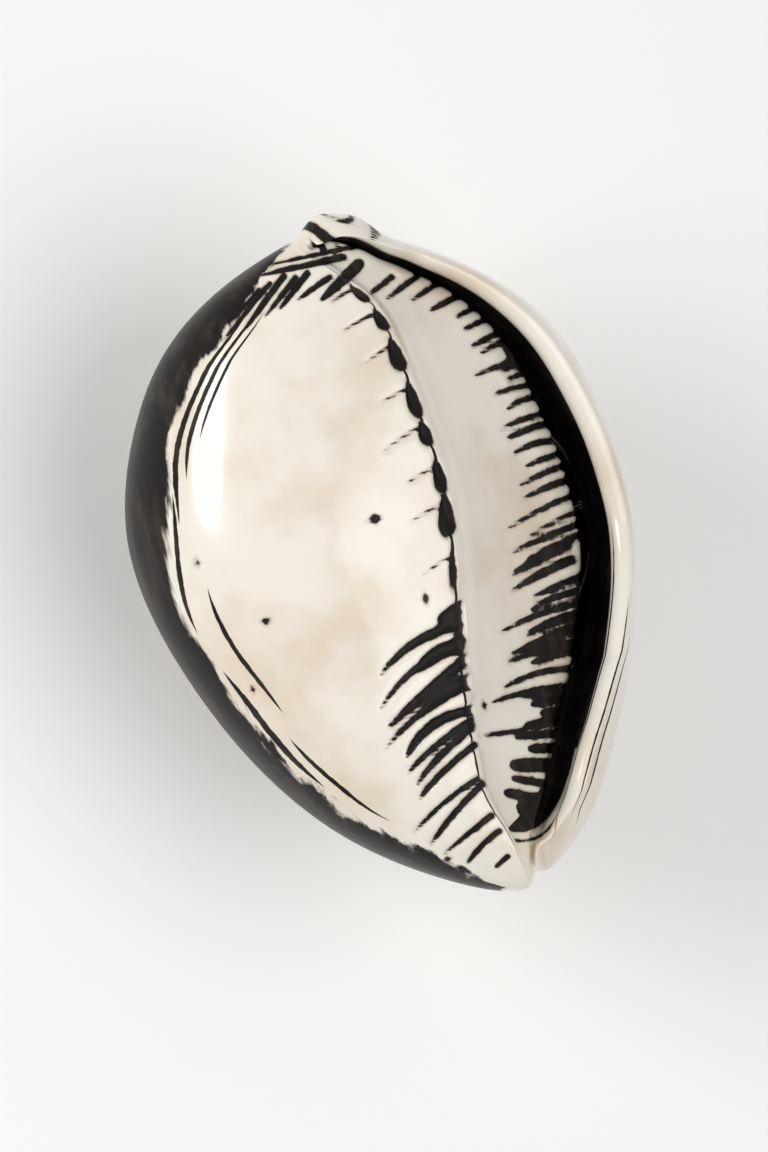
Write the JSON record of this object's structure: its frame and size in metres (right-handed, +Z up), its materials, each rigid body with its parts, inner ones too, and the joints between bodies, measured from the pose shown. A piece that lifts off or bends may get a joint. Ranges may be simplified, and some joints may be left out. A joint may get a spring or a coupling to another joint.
{
  "type": "cowrie shell",
  "caption": "Large egg-shaped cowrie shell lying on its back, aperture up, with a toothed inner edge, a sunken wall, a rolled outer lip and a curled living chamber.",
  "frame": {"origin": "under the middle of the shell, on the surface that it rests on", "axes": "+Z up through the aperture, +Y along the shell towards the spire knob, +X towards the outer lip"},
  "size_m": [0.0622, 0.0852, 0.0454],
  "materials": {
    "porcelain_shell": "ivory shell with the glossy porcelain-like enamel of a cowrie, dark brown-black in the grooves, crevice and side band"
  },
  "bodies": {
    "root": {"cowrie_shell": "porcelain_shell"}
  },
  "joints": []
}
